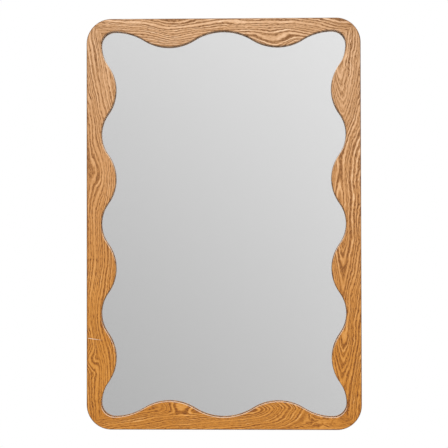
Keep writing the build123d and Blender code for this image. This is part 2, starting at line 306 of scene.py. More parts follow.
# %% Start the oak figure as a node group
def shader_group(name, inputs, outputs):
    """A new node group with these sockets; gives its tree, its inputs and its result node."""
    tree = bpy.data.node_groups.new(name, "ShaderNodeTree")
    for label, kind in inputs.items():
        tree.interface.new_socket(name=label, in_out="INPUT", socket_type="NodeSocket" + kind)
    for label in outputs:
        tree.interface.new_socket(name=label, in_out="OUTPUT", socket_type="NodeSocketFloat")
    return tree, put(tree, "NodeGroupInput").outputs, put(tree, "NodeGroupOutput")


OAK_INPUTS = {
    "Point": "Vector",           # in from the frame's outer edge, into the wood, along the grain
    "Seed": "Float",
    "Swell": "Float",            # how far the trunk's swellings push the rings out
    "Pith Across": "Float",
    "Pith Depth": "Float",
    "Taper": "Float",            # how fast the rings narrow along the tree
    "Lean": "Float",             # slope of the grain against the board's edge
    "Ring Width": "Float",
    "Wander": "Float",           # how far the grain strays from straight
    "Ring Contrast": "Float",
    "Streak Contrast": "Float",
}
figure, given, result = shader_group("oak figure", OAK_INPUTS, ("Tone", "Pores", "Fibre"))
print("oak figure takes:", ", ".join(OAK_INPUTS))

# %% [markdown]
# ## Oak, how the grain strays
#
# No trunk is quite straight. Three layers of noise, each finer and weaker than the one
# before, push a point aside before its ring is looked up, so that everything which follows
# from it wavers together. The seed gives each board a place of its own in the noise.

# %% Let the grain stray
# how many waves there are in a metre: across the board, into it and along it
BROAD_STRAY = (11, 11, 5)
CLOSE_STRAY = (60, 60, 20)
JAGGED_STRAY = (150, 150, 80)
CLOSE_SHARE = 0.20               # of the broad waves' height
JAGGED_SHARE = 0.11


def noise(tree, point, stretch, detail, roughness=0.5):
    """Cloudy noise from 0 to 1; stretch is how many features it has in a metre each way."""
    stretched = aim(tree, "MULTIPLY", point, stretch)
    inputs = {"Vector": stretched, "Scale": 1.0, "Detail": detail, "Roughness": roughness}
    return put(tree, "ShaderNodeTexNoise", inputs).outputs["Fac"]


def centred(tree, value):
    """A value from 0 to 1, shifted so that its middle is 0."""
    return calc(tree, "SUBTRACT", value, 0.5)


across, depth, along = xyz(figure, given["Point"])
seed = put(figure, "ShaderNodeCombineXYZ", {2: given["Seed"]}).outputs[0]
seeded = aim(figure, "ADD", given["Point"], seed)
broad = centred(figure, noise(figure, seeded, BROAD_STRAY, 1.5))
close = centred(figure, noise(figure, seeded, CLOSE_STRAY, 1.0))
jagged = centred(figure, noise(figure, seeded, JAGGED_STRAY, 1.0))
stray = calc(figure, "MULTIPLY_ADD", close, CLOSE_SHARE, broad)
stray = calc(figure, "MULTIPLY_ADD", jagged, JAGGED_SHARE, stray)
stray = calc(figure, "MULTIPLY", stray, given["Wander"])
stray = calc(figure, "MULTIPLY_ADD", along, given["Lean"], stray)
across = calc(figure, "ADD", across, stray)
flow = put(figure, "ShaderNodeCombineXYZ", {0: across, 1: depth, 2: along}).outputs[0]
flow = aim(figure, "ADD", flow, seed)
print("with its straying grain:", len(figure.nodes), "nodes")

# %% [markdown]
# ## Oak, the rings
#
# The distance from the pith, divided by a ring's width, counts the rings: the whole part of
# the count is the ring's number, and the rest of it is how far that ring's year has come.
# Years differ. A noise along the count makes some rings wider than others, and a random
# value for each number makes some of them stronger.

# %% Count the rings
UNEVEN_SCALE = 0.37              # a change of width about every third ring
UNEVEN_AMOUNT = 2.6              # in rings


def fade_out(tree, value, low, high):
    """Goes smoothly from 1, at low, to 0, at high."""
    return fade(tree, value, low, high, 1.0, 0.0)


def product(tree, first, *others):
    """All these values multiplied together."""
    for other in others:
        first = calc(tree, "MULTIPLY", first, other)
    return first


side = calc(figure, "SUBTRACT", across, given["Pith Across"])
deep = calc(figure, "SUBTRACT", depth, given["Pith Depth"])
squares = calc(figure, "MULTIPLY_ADD", side, side, calc(figure, "MULTIPLY", deep, deep))
far = calc(figure, "MULTIPLY_ADD", along, given["Taper"], calc(figure, "SQRT", squares))
far = calc(figure, "ADD", far, given["Swell"])
count = calc(figure, "DIVIDE", far, given["Ring Width"])
uneven = put(
    figure, "ShaderNodeTexNoise", {"W": count, "Scale": UNEVEN_SCALE, "Detail": 1.0},
    noise_dimensions="1D").outputs["Fac"]
count = calc(figure, "MULTIPLY_ADD", uneven, UNEVEN_AMOUNT, count)
phase = calc(figure, "FRACT", count)
ring = calc(figure, "FLOOR", count)
season = put(figure, "ShaderNodeTexWhiteNoise", {"W": ring}, noise_dimensions="1D").outputs["Value"]
early = product(figure, fade_out(figure, phase, 0.38, 0.72), fade(figure, phase, 0.0, 0.10))
late = product(figure, fade(figure, phase, 0.55, 0.78), fade_out(figure, phase, 0.90, 1.0))
print("with its rings:", len(figure.nodes), "nodes")

# %% [markdown]
# ## Oak, the marks in a ring
#
# Earlywood shows as a dark band, broken up by its open pores, and latewood as a pale ridge.
# Over both lie dark dashes, which are pores cut lengthwise, and the fine fibre of the wood.
# Each kind of mark is a noise stretched along the grain. The bands and ridges also fade in
# places, because no ring is equally clear along a whole board.

# %% Draw the marks
# how many of each there are in a metre: across the board, into it and along it
DOTS = (460, 460, 130)
DASHES = (620, 620, 80)
PORE_LINES = (2600, 2600, 130)
FIBRES = (1300, 1300, 90)
CLOUDS = (34, 34, 6)
CLEARINGS = (40, 40, 16)
PORES = (1500, 1500, 120)
FAINTEST_RING = 0.20             # strength of the faintest ring
SEASON_RANGE = 0.56              # and how much stronger the strongest is


def cells(tree, point, stretch, feature="F1"):
    """How far a point lies from a cell's middle or edge; stretch is how many cells in a metre."""
    inputs = {"Vector": aim(tree, "MULTIPLY", point, stretch), "Scale": 1.0}
    return put(tree, "ShaderNodeTexVoronoi", inputs, feature=feature).outputs["Distance"]


def specks(tree, point, stretch, inner, outer):
    """Separate grains, 1 in their middle; stretch is how many there are in a metre."""
    return fade_out(tree, cells(tree, point, stretch), inner, outer)


dots = fade(figure, noise(figure, flow, DOTS, 1.0), 0.40, 0.60)
dots = calc(figure, "MULTIPLY_ADD", dots, 0.5, 0.5)
dash = fade(figure, noise(figure, flow, DASHES, 2.0), 0.42, 0.70)
marks = fade(figure, noise(figure, flow, PORE_LINES, 2.0, 0.6), 0.42, 0.60)
marks = calc(figure, "MULTIPLY_ADD", marks, 1.6, 0.2)
fibre = noise(figure, flow, FIBRES, 2.0, 0.6)
cloud = noise(figure, flow, CLOUDS, 1.5)
clear = fade(figure, noise(figure, flow, CLEARINGS, 1.0), 0.36, 0.60, 0.4, 1.0)
strong = calc(figure, "MULTIPLY_ADD", season, SEASON_RANGE, FAINTEST_RING)
vivid = product(figure, strong, clear)
bands = product(figure, early, vivid, dots, marks, given["Ring Contrast"])
ridges = product(figure, late, vivid, given["Ring Contrast"])
mostly_early = calc(figure, "MULTIPLY_ADD", early, 0.65, 0.35)
dashes = product(figure, dash, mostly_early, marks, given["Streak Contrast"])
pores = specks(figure, flow, PORES, 0.16, 0.30)
pores = product(figure, pores, calc(figure, "MULTIPLY_ADD", early, 0.8, 0.2))
print("with its marks:", len(figure.nodes), "nodes")

# %% [markdown]
# ## Oak, one tone from all the marks
#
# The marks are added up to a single tone, dark at 0 and pale at 1. Colours come later, so
# that the same figure serves for the pale wood at the top and the amber wood at the foot.

# %% Add the marks up
PLAIN_TONE = 0.635
BAND_TONE = -1.05                # how far each kind of mark darkens or lightens the wood
RIDGE_TONE = 0.40
DASH_TONE = -0.55
FIBRE_TONE = 0.5
CLOUD_TONE = 0.32

tone = calc(figure, "MULTIPLY_ADD", bands, BAND_TONE, PLAIN_TONE)
tone = calc(figure, "MULTIPLY_ADD", ridges, RIDGE_TONE, tone)
tone = calc(figure, "MULTIPLY_ADD", dashes, DASH_TONE, tone)
tone = calc(figure, "MULTIPLY_ADD", centred(figure, fibre), FIBRE_TONE, tone)
tone = calc(figure, "MULTIPLY_ADD", centred(figure, cloud), CLOUD_TONE, tone)
for label, value in (("Tone", tone), ("Pores", pores), ("Fibre", fibre)):
    figure.links.new(value, result.inputs[label])
print("oak figure:", len(figure.nodes), "nodes")

# %% [markdown]
# ## Oak, swellings of the trunk
#
# One swelling is a soft bump in the distance from the pith: strongest at its own place and
# gone past its reach. A positive push turns the lines round the place like water round a
# stone; where it is strong and narrow, it closes them into rings like those of a knot. A
# group of its own makes one bump, and a board places as many of them as it needs.

# %% Build a swelling as a node group
SWELLING_INPUTS = {"Point": "Vector", "Place": "Vector", "Reach": "Vector", "Push": "Float"}
SWELLING_DEPTH = 0.05            # its reach into the wood


def use_group(tree, group, **inputs):
    """Places a node group; a socket's name is written here with underscores for its spaces."""
    named = {label.replace("_", " ").title(): value for label, value in inputs.items()}
    return put(tree, "ShaderNodeGroup", named, node_tree=group).outputs


def swell_of(tree, point, swellings):
    """How far all the swellings of a board together push its rings out at a point."""
    swell = 0.0
    for inner, place, reach_in, reach_along, push in swellings:
        middle = (inner, 0, place)
        reach = (reach_in, SWELLING_DEPTH, reach_along)
        amount = use_group(tree, swelling, point=point, place=middle, reach=reach, push=push)[0]
        swell = calc(tree, "ADD", swell, amount)
    return swell


swelling, given, result = shader_group("trunk swelling", SWELLING_INPUTS, ("Amount",))
offset = aim(swelling, "SUBTRACT", given["Point"], given["Place"])
offset = aim(swelling, "DIVIDE", offset, given["Reach"])
bump = fade_out(swelling, aim(swelling, "LENGTH", offset, out="Value"), 0.0, 1.0)
swelling.links.new(calc(swelling, "MULTIPLY", bump, given["Push"]), result.inputs["Amount"])
print("trunk swelling:", len(swelling.nodes), "nodes")

# %% [markdown]
# ## Oak, where a board differs from its own grain
#
# Three kinds of place don't follow the grain. A pale fleck crosses it, a dark line of painted
# shade runs round the outside of the front, on the round, and the slanted wood round the opening
# has painted highlight where it faces up and painted shade where it faces down. Each gets a mask,
# which is 1 on the place and 0 off it. The way a surface faces tells the slanted wood from the flat.

# %% Mask the special places
OUTER_CORNER = 55 * MM           # radius of the frame's four outer corners
RIM_WIDTH = 2.8 * MM
RIM_FRONT = 2.5 * MM             # into the wood, where the dark line starts to fade
RIM_GONE = 5 * MM
FLECK_HALF = 0.4 * MM            # half the fleck's width
FLECK_SLOPE = -0.124
FLECK_START = 1 * MM             # how softly it starts
FLECK_HOLD = 0.2                 # share of its length before it fades
INNER_FROM = 18 * MM             # in from the outer edge, where the slanted wood can lie
INNER_FULL = 24 * MM


def normal_of(tree):
    """The way a surface faces, as its three parts."""
    return xyz(tree, put(tree, "ShaderNodeTexCoord").outputs["Normal"])


def pale_fleck(tree, across, along, fleck):
    """The mask of one pale fleck that crosses the grain and fades away inwards."""
    first, last, place = fleck
    middle = calc(tree, "MULTIPLY_ADD", calc(tree, "SUBTRACT", across, first), FLECK_SLOPE, place)
    gap = calc(tree, "ABSOLUTE", calc(tree, "SUBTRACT", along, middle))
    line = fade_out(tree, gap, 0.4 * FLECK_HALF, 1.6 * FLECK_HALF)
    start = fade(tree, across, first - FLECK_START, first + FLECK_START)
    end = fade_out(tree, across, first + FLECK_HOLD * (last - first), last)
    return product(tree, start, end, line)


def painted_rim_shade(tree, depth):
    """The mask of a line of painted shade round the outside of the front, on the round."""
    flat = aim(tree, "MULTIPLY", place_of(tree), (1, 0, 1))
    middle = (SIDE - OUTER_CORNER, 0, END - OUTER_CORNER)
    beyond = aim(tree, "SUBTRACT", aim(tree, "ABSOLUTE", flat), middle)
    x, _, z = xyz(tree, beyond)
    corner = aim(tree, "LENGTH", aim(tree, "MAXIMUM", beyond, (0, 0, 0)), out="Value")
    straight = calc(tree, "MINIMUM", calc(tree, "MAXIMUM", x, z), 0.0)
    inside = calc(tree, "SUBTRACT", OUTER_CORNER, calc(tree, "ADD", corner, straight))
    line = fade_out(tree, inside, 0.3 * RIM_WIDTH, RIM_WIDTH)
    return product(tree, line, fade_out(tree, depth, RIM_FRONT, RIM_GONE))


def painted_edge_light(tree, across, upwards):
    """The mask of painted highlight (1) or painted shade (-1) on the slanted wood round the opening,
    where it faces up or down.
    """
    _, ahead, up = normal_of(tree)
    slanted = product(tree, fade(tree, ahead, -0.95, -0.80), fade_out(tree, ahead, -0.55, -0.25))
    inner = fade(tree, across, INNER_FROM, INNER_FULL)
    tilted = fade(tree, calc(tree, "MULTIPLY", up, upwards), 0.04, 0.35)
    return product(tree, inner, tilted, slanted)


print(f"dark rim {RIM_WIDTH / MM:.1f} mm wide, fleck {2 * FLECK_HALF / MM:.1f} mm wide")

# %% [markdown]
# ## Oak, its colours
#
# Plain wood is painted paler towards the top, a painted sheen of the light from above, and it
# is more amber near the foot. So there are two rows of colours from dark tone to pale, and the
# height of a point mixes them. They are written as they look on screen. A tint is then a share
# and a colour, laid over the wood where one of the masks is: real marks, and painted light and shade.

# %% Mix the oak's colours
def srgb(*levels):
    """A colour as seen on screen, from 0 to 255, as the linear colour that shaders use."""
    parts = [level / 255 for level in levels]
    return (*(p / 12.92 if p <= 0.04045 else ((p + 0.055) / 1.055) ** 2.4 for p in parts), 1.0)


PALE_OAK = [
    (0.0, srgb(120, 74, 30)), (0.30, srgb(176, 125, 73)),
    (0.58, srgb(207, 159, 114)), (0.85, srgb(234, 189, 147)), (1.0, srgb(248, 212, 176)),
]
AMBER_OAK = [
    (0.0, srgb(121, 61, 2)), (0.30, srgb(173, 103, 18)),
    (0.58, srgb(203, 131, 40)), (0.85, srgb(223, 154, 69)), (1.0, srgb(238, 181, 112)),
]
PORE_TINT = (0.55, srgb(104, 62, 26))
# painted shade on the round outside of the front
RIM_SHADE_TINT = (0.9, srgb(108, 68, 32))
# painted highlight where the slanted wood faces up, painted shade where it faces down
UPWARD_PAINTED_HIGHLIGHT = (0.6, srgb(248, 224, 200))
DOWNWARD_PAINTED_SHADE = (0.6, srgb(112, 72, 36))
FLECK_TINT = (1.0, srgb(252, 238, 220))
AMBER_BELOW = -0.75              # shares of the half height between which the colours mix
PALE_ABOVE = 1.15
SHEEN_SLANT = 0.1                  # the painted sheen is a little stronger on the right than on the left


def ramp(tree, value, stops):
    """A row of colours at places from 0 to 1."""
    node = put(tree, "ShaderNodeValToRGB", {0: value})
    for index, (place, colour) in enumerate(stops):
        if index < 2:
            stop = node.color_ramp.elements[index]
            stop.position = place
        else:
            stop = node.color_ramp.elements.new(place)
        stop.color = colour
    return node.outputs[0]


def lay_mark_or_painted_light(tree, colour, mask, tint):
    """Lays a tint over the wood where the mask is: a real mark, or painted light and shade."""
    share, stain = tint
    return blend(tree, calc(tree, "MULTIPLY", mask, share), colour, stain)


def wood_colour(tree, tone):
    """The colour of plain wood of this tone at the height of a point, with a painted sheen towards the
    top and right.
    """
    x, _, z = xyz(tree, place_of(tree))
    # painted sheen: paler towards the top and a little towards the right
    height = calc(tree, "MULTIPLY_ADD", x, SHEEN_SLANT, z)
    paleness = fade(tree, height, AMBER_BELOW * END, PALE_ABOVE * END)
    return blend(tree, paleness, ramp(tree, tone, AMBER_OAK), ramp(tree, tone, PALE_OAK))


print("colour stops:", len(PALE_OAK), "pale,", len(AMBER_OAK), "amber")

# %% [markdown]
# ## Oak, a lacquered board
#
# Now the parts come together. The figure wants to know a point's place in from the outer
# edge, into the wood and along the grain, which runs up a stile and along a rail. Near a
# mitre it is made calmer and a little darker. Clear satin lacquer lies over the wood: a
# thin coat that shines softly on the edges and sinks into the open pores.

# %% Make the oak of one board
MITRE_REACH = 0.05
MITRE_CALM = 0.45                # share of the ring contrast that is gone at a mitre
MITRE_DARKER = 0.07              # of the tone
PLAIN_ROUGH = 0.56
PALE_SMOOTHER = 0.12             # pale wood is denser and takes the lacquer better
PORE_ROUGHER = 0.25
FIBRE_RELIEF = 0.4               # of a pore's depth
GRAIN_DEPTH = 0.15 * MM
GRAIN_STRENGTH = 0.35
LACQUER = {"Coat Weight": 0.2, "Coat Roughness": 0.28, "Specular IOR Level": 0.25}


def principled(tree, inputs):
    """Makes a Principled shader with these inputs the material's surface."""
    shader = put(tree, "ShaderNodeBsdfPrincipled", inputs)
    put(tree, "ShaderNodeOutputMaterial", {"Surface": shader.outputs[0]})


def place_in_board(tree, member, upright):
    """How far a point lies in from the outer edge, into the wood and along the grain."""
    x, y, z = xyz(tree, place_of(tree))
    beside, along, edge = (x, z, SIDE) if upright else (z, x, END)
    low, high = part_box(member)
    inward = -1 if (high + low)[0 if upright else 2] > 0 else 1
    across = calc(tree, "MULTIPLY_ADD", beside, inward, edge)
    return across, calc(tree, "SUBTRACT", y, FRONT), along


def near_mitre(tree):
    """1 on a mitre, where a point is as far in from the side as from the end, 0 away from it."""
    x, _, z = xyz(tree, place_of(tree))
    beyond = calc(tree, "SUBTRACT", calc(tree, "ABSOLUTE", x), calc(tree, "ABSOLUTE", z))
    from_mitre = calc(tree, "ABSOLUTE", calc(tree, "ADD", beyond, END - SIDE))
    return fade_out(tree, from_mitre, 0.0, MITRE_REACH)


def oak_material(member, upright, swellings, ring_contrast, fleck=None, **grain):
    """Lacquered oak whose grain runs up the member, or along it from side to side."""
    material, tree = new_material("oak_" + member)
    across, depth, along = place_in_board(tree, member, upright)
    point = put(tree, "ShaderNodeCombineXYZ", {0: across, 1: depth, 2: along}).outputs[0]
    near = near_mitre(tree)
    calm = calc(tree, "MULTIPLY_ADD", near, -MITRE_CALM, 1.0)
    tone, pores, fibre = use_group(
        tree, figure, point=point, swell=swell_of(tree, point, swellings),
        ring_contrast=calc(tree, "MULTIPLY", calm, ring_contrast), **grain)
    tone = calc(tree, "MULTIPLY_ADD", near, -MITRE_DARKER, tone)

    colour = lay_mark_or_painted_light(tree, wood_colour(tree, tone), pores, PORE_TINT)
    # painted shade along the round outside of the front
    colour = lay_mark_or_painted_light(tree, colour, painted_rim_shade(tree, depth), RIM_SHADE_TINT)
    # painted highlight where the slanted edge faces up, painted shade where it faces down
    colour = lay_mark_or_painted_light(tree, colour, painted_edge_light(tree, across, 1), UPWARD_PAINTED_HIGHLIGHT)
    colour = lay_mark_or_painted_light(tree, colour, painted_edge_light(tree, across, -1), DOWNWARD_PAINTED_SHADE)
    if fleck:
        colour = lay_mark_or_painted_light(tree, colour, pale_fleck(tree, across, along, fleck), FLECK_TINT)

    rough = calc(tree, "MULTIPLY_ADD", tone, -PALE_SMOOTHER, PLAIN_ROUGH)
    rough = calc(tree, "MULTIPLY_ADD", pores, PORE_ROUGHER, rough)
    relief = calc(tree, "MULTIPLY_ADD", pores, -1.0, calc(tree, "MULTIPLY", fibre, FIBRE_RELIEF))
    bump = put(tree, "ShaderNodeBump", {
        "Height": relief, "Strength": GRAIN_STRENGTH, "Distance": GRAIN_DEPTH}).outputs[0]
    principled(tree, {"Base Color": colour, "Roughness": rough, "Normal": bump, **LACQUER})
    print(f"{material.name}: {len(swellings)} swellings, {len(tree.nodes)} nodes")
    return material


# %% [markdown]
# ## Softened copies of the CAD pieces
#
# A CAD edge is perfectly sharp, and no real edge is: sandpaper and lacquer round it a
# little, and that fine round catches the light. Each copy is merged first, because the
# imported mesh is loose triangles, its flat triangles are joined into whole faces, and then
# its hard edges are bevelled. A weighted-normal modifier keeps the flat faces flat. The
# edges on a mitre stay sharp, because the wood was sanded after it was joined.

# %% Soften a CAD node
MERGE_DISTANCE = 0.001 * MM
FLAT_ANGLE = math.radians(0.2)
HARD_ANGLE = math.radians(28)    # a fold sharper than this is an edge to round


def cad_copy(node):
    """A merged bmesh copy of a CAD node, with its flat triangles joined into whole faces."""
    bm = bmesh.new()
    bm.from_mesh(frame["nodes"][node].data)
    bmesh.ops.remove_doubles(bm, verts=bm.verts, dist=MERGE_DISTANCE)
    bmesh.ops.dissolve_limit(bm, angle_limit=FLAT_ANGLE, verts=bm.verts, edges=bm.edges)
    return bm


def stand_for(piece, node, material):
    """Lets a piece take a CAD node's place, on its body and with its material slot."""
    original = frame["nodes"][node]
    piece.data.materials.append(material)
    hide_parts(node)
    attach(piece, original["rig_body"])
    print(f"{piece.name}: {len(piece.data.polygons)} faces")
    return piece


def on_mitre(vert):
    """Whether a corner lies on one of the frame's four 45 degree joints."""
    return abs((SIDE - abs(vert.co.x)) - (END - abs(vert.co.z))) < 10 * MERGE_DISTANCE


def softened(node, material, edge, segments=2):
    """A copy of a CAD node with rounded edges, which stands for the node."""
    bm = cad_copy(node)
    hard = [e for e in bm.edges if e.is_manifold and e.calc_face_angle() > HARD_ANGLE]
    hard = [e for e in hard if not all(on_mitre(vert) for vert in e.verts)]
    bmesh.ops.bevel(
        bm, geom=hard, offset=edge, offset_type="OFFSET", affect="EDGES", segments=segments,
        profile=0.5, material=-1, clamp_overlap=True)
    open_edges = sum(not e.is_manifold for e in bm.edges)
    if open_edges:
        print(node, "has", open_edges, "open edges")
    piece = new_piece(node + "_finished", bm, smooth_angle=40)
    normals = piece.modifiers.new("weighted_normals", "WEIGHTED_NORMAL")
    normals.keep_sharp = True
    return stand_for(piece, node, material)


# %% [markdown]
# ## The four boards
#
# The four members come from different boards, so each gets its own pith, lean, ring width
# and swellings. A pith outside a board gives it nearly straight lines, and one inside it
# gives it V shapes. Only the left stile has a fleck.

# %% Finish the four members
OAK_EDGE = 0.25 * MM

# each swelling: how far in from the outer edge, where along the member, its reach inwards
# and along, and how hard it pushes, all in metres; the fleck: where it starts and ends, in
# from the outer edge, and where along the member it starts
BOARDS = {
    "top_rail": dict(
        upright=False, seed=4.4, pith_across=-0.03, pith_depth=0.02, taper=0.02, lean=-0.03,
        ring_width=0.0048, wander=0.03, ring_contrast=1.4, streak_contrast=1.3,
        swellings=[
            (0.02, -0.12, 0.06, 0.12, -0.012), (0.044, -0.106, 0.020, 0.055, -0.009),
            (0.066, 0.115, 0.046, 0.07, -0.024), (0.03, 0.30, 0.2, 0.16, -0.02)]),
    "bottom_rail": dict(
        upright=False, seed=6.6, pith_across=0.05, pith_depth=0.008, taper=0.12, lean=0.0,
        ring_width=0.0034, wander=0.03, ring_contrast=1.15, streak_contrast=1.05,
        swellings=[(0.05, 0.20, 0.05, 0.14, 0.035), (0.05, -0.10, 0.02, 0.05, 0.012)]),
    "left_stile": dict(
        upright=True, seed=9.2, pith_across=-0.02, pith_depth=0.02, taper=0.01, lean=0.0,
        ring_width=0.0050, wander=0.030, ring_contrast=0.9, streak_contrast=0.95,
        swellings=[
            (0.02, 0.47, 0.2, 0.28, 0.032), (0.033, 0.11, 0.034, 0.11, -0.017),
            (0.008, -0.302, 0.026, 0.036, 0.014), (0.03, -0.20, 0.06, 0.13, 0.02)],
        fleck=(0.004, 0.040, -0.2545)),
    "right_stile": dict(
        upright=True, seed=14.6, pith_across=0.040, pith_depth=0.008, taper=-0.13, lean=0.0,
        ring_width=0.0047, wander=0.036, ring_contrast=1.12, streak_contrast=1.15,
        swellings=[(0.04, 0.16, 0.1, 0.14, 0.02), (0.04, -0.36, 0.1, 0.12, 0.004)]),
}
for node, board in BOARDS.items():
    softened(node, oak_material(node, **board), OAK_EDGE)

# %% [markdown]
# ## Mirror plate
#
# A mirror is a clear plate with silver behind it, so two pieces make it: light goes in
# through the glass, meets the silver and comes out again. That is why the wavy wooden edge
# shows twice, once itself and once in the silver, with a thin dark line between. The plate
# gets ground edges and stands back a hair from the wood and the silver, because surfaces in
# the same place make render noise. Float glass is clear through its face and green through
# its edge, which the material tells apart by the way a surface faces.

# %% Glass
GLASS_EDGE = 0.4 * MM
HAIR = 0.02 * MM
GLASS_GREEN = srgb(160, 214, 190)


def facing(tree):
    """How far a surface turns to the front or back: 1 squarely, 0 edge on."""
    return calc(tree, "ABSOLUTE", normal_of(tree)[1])


glass, tree = new_material("float_glass")
tint = blend(tree, fade(tree, facing(tree), 0.5, 0.9), GLASS_GREEN, WHITE)
principled(tree, {"Base Color": tint, "Roughness": 0.0, "IOR": 1.5, "Transmission Weight": 1.0})
plate = softened("mirror_glass", glass, GLASS_EDGE)
inset = plate.modifiers.new("stand_back", "DISPLACE")
inset.strength = -HAIR
inset.mid_level = 0.0

# %% [markdown]
# ## Silver and its paint
#
# The silver is a film on the back of the glass, and grey paint covers it from behind. One
# thin sheet serves for both: where it faces the front it is polished metal, and everywhere
# else it is brushed paint.

# %% Silver and paint
SILVER = (0.955, 0.955, 0.955, 1)

silver, tree = new_material("silver_and_paint")
front_side = fade_out(tree, normal_of(tree)[1], -0.9, -0.5)
brushed = noise(tree, place_of(tree), (90, 90, 14), 3.0)
paint = blend(tree, brushed, srgb(96, 98, 102), srgb(126, 128, 131))
principled(tree, {
    "Base Color": blend(tree, front_side, paint, SILVER),
    "Metallic": front_side,
    "Roughness": calc(tree, "MULTIPLY_ADD", front_side, -0.5, 0.5),
})
coating = cad_copy("silvered_backing")
bmesh.ops.translate(coating, vec=(0, HAIR, 0), verts=coating.verts)
stand_for(new_piece("silvered_backing_finished", coating, smooth_angle=40), "silvered_backing", silver)

# %% [markdown]
# ## One recipe for the other finishes
#
# Board, foam, rubber and metal all come from one Principled shader. What differs is the
# pattern that feeds it, so each finish is a small recipe: a function that is given the node
# tree and the place on the object, and gives back the inputs that vary. Inputs that are the
# same all over are set on the shader itself.

# %% Make a material from a recipe
def finish(name, recipe, fixed=None):
    """A material whose varying inputs come from a recipe; Relief is a height and its depth."""
    material, tree = new_material(name)
    inputs = recipe(tree, place_of(tree))
    if "Relief" in inputs:
        height, deep = inputs.pop("Relief")
        inputs["Normal"] = put(tree, "ShaderNodeBump", {"Height": height, "Distance": deep}).outputs[0]
    principled(tree, {**inputs, **(fixed or {})})
    print(f"{name}: {len(tree.nodes)} nodes")
    return material


def dress(node, material):
    """Gives a CAD node that stays as it is a better material."""
    for slot in frame["nodes"][node].material_slots:
        slot.material = material
    print(node, "keeps its shape and gets", material.name)


# %% [markdown]
# ## Backing board
#
# The back is closed by raw fibreboard: wood fibres pressed flat, tan and a little cloudy,
# with darker bits of bark here and there. A fine noise gives the fibres, a wide one the
# clouds, and a few scattered grains the bark.

# %% Fibreboard
BOARD_EDGE = 0.4 * MM
BOARD_COLOURS = [
    (0.36, srgb(140, 106, 74)), (0.50, srgb(160, 125, 90)), (0.64, srgb(178, 145, 108)),
]
BARK = srgb(96, 66, 42)


def pressed_fibres(tree, point):
    """The recipe of raw fibreboard: fine fibres, wide clouds and bits of bark."""
    fibres = noise(tree, point, (620, 620, 620), 4.0, 0.7)
    clouds = noise(tree, point, (24, 24, 24), 5.0, 0.6)
    bark = calc(tree, "MULTIPLY", specks(tree, point, (190, 190, 190), 0.06, 0.16), 0.55)
    tone = calc(tree, "MULTIPLY_ADD", clouds, 0.22, calc(tree, "MULTIPLY", fibres, 0.78))
    return {
        "Base Color": blend(tree, bark, ramp(tree, tone, BOARD_COLOURS), BARK),
        "Roughness": calc(tree, "MULTIPLY_ADD", fibres, 0.25, 0.68),
        "Relief": (fibres, 0.08 * MM),
    }


fibreboard = finish("fibreboard_raw", pressed_fibres, {"Specular IOR Level": 0.3})
softened("backing_board", fibreboard, BOARD_EDGE)

# %% [markdown]
# ## Foam
#
# Strips of closed-cell foam lie between the silver and the board and press the mirror
# forward. Foam shows its cells as a fine net: the walls are where a point is near a cell's
# edge.

# %% Foam
FOAM_EDGE = 0.5 * MM


def foam_cells(tree, point):
    """The recipe of closed-cell foam: a fine net of pale cell walls."""
    walls = fade_out(tree, cells(tree, point, (1100, 1100, 1100), "DISTANCE_TO_EDGE"), 0.02, 0.22)
    return {
        "Base Color": blend(tree, walls, srgb(206, 206, 199), srgb(228, 228, 222)),
        "Roughness": calc(tree, "MULTIPLY_ADD", walls, -0.15, 0.92),
        "Relief": (walls, 0.12 * MM),
    }


foam = softened("foam_strips", finish("closed_cell_foam", foam_cells), FOAM_EDGE)

# %% [markdown]
# ## Rubber spacers and bumpers
#
# Small rubber pads keep the mirror's edges off the wood, and four soft bumpers keep the
# frame off the wall. Rubber is matt, nearly black, and holds a little dust. Two rubbers of
# different greys share one recipe.

# %% Rubber
BUMPER_EDGE = 0.4 * MM


def dusty_rubber(dark, pale):
    """The recipe of a matt rubber between two shades of grey."""
    def recipe(tree, point):
        grains = noise(tree, point, (2600, 2600, 2600), 2.0, 0.6)
        dust = fade(tree, noise(tree, point, (170, 170, 170), 3.0), 0.45, 0.75)
        return {
            "Base Color": blend(tree, dust, dark, pale),
            "Roughness": calc(tree, "MULTIPLY_ADD", dust, 0.2, 0.62),
            "Relief": (grains, 0.03 * MM),
        }
    return recipe


spacer_rubber = finish("spacer_rubber_matt", dusty_rubber(srgb(36, 36, 37), srgb(62, 61, 60)))
dress("glass_edge_spacers", spacer_rubber)
bumper_rubber = finish("bumper_rubber_matt", dusty_rubber(srgb(52, 53, 55), srgb(88, 87, 85)))
softened("wall_bumpers", bumper_rubber, BUMPER_EDGE, segments=3)

# %% [markdown]
# ## Metal, its wear
#
# New plated steel is never one flat grey. The plating is a little cloudy, and handling has
# left fine scratches that run every way. Both are worked out in one group. The scratches
# are a noise so stretched that only thin lines of it are left, laid down in three ways.

# %% Build worn metal as a node group
WORN_INPUTS = {"Point": "Vector", "Wear": "Float"}
SCRATCH_WAYS = (24, -52, 81)     # degrees
SCRATCHES = (4200, 4200, 150)

worn, given, result = shader_group("worn metal", WORN_INPUTS, ("Patch", "Scratch"))
patch = fade(worn, noise(worn, given["Point"], (240, 240, 240), 3.0, 0.6), 0.32, 0.68)
scratch = 0.0
for degrees in SCRATCH_WAYS:
    inputs = {"Vector": given["Point"], "Angle": math.radians(degrees)}
    turned = put(worn, "ShaderNodeVectorRotate", inputs, rotation_type="Y_AXIS").outputs[0]
    lines = fade(worn, noise(worn, turned, SCRATCHES, 1.0), 0.66, 0.74)
    scratch = calc(worn, "MAXIMUM", scratch, lines)
scratch = calc(worn, "MULTIPLY", scratch, given["Wear"])
worn.links.new(patch, result.inputs["Patch"])
worn.links.new(scratch, result.inputs["Scratch"])
print("worn metal:", len(worn.nodes), "nodes")

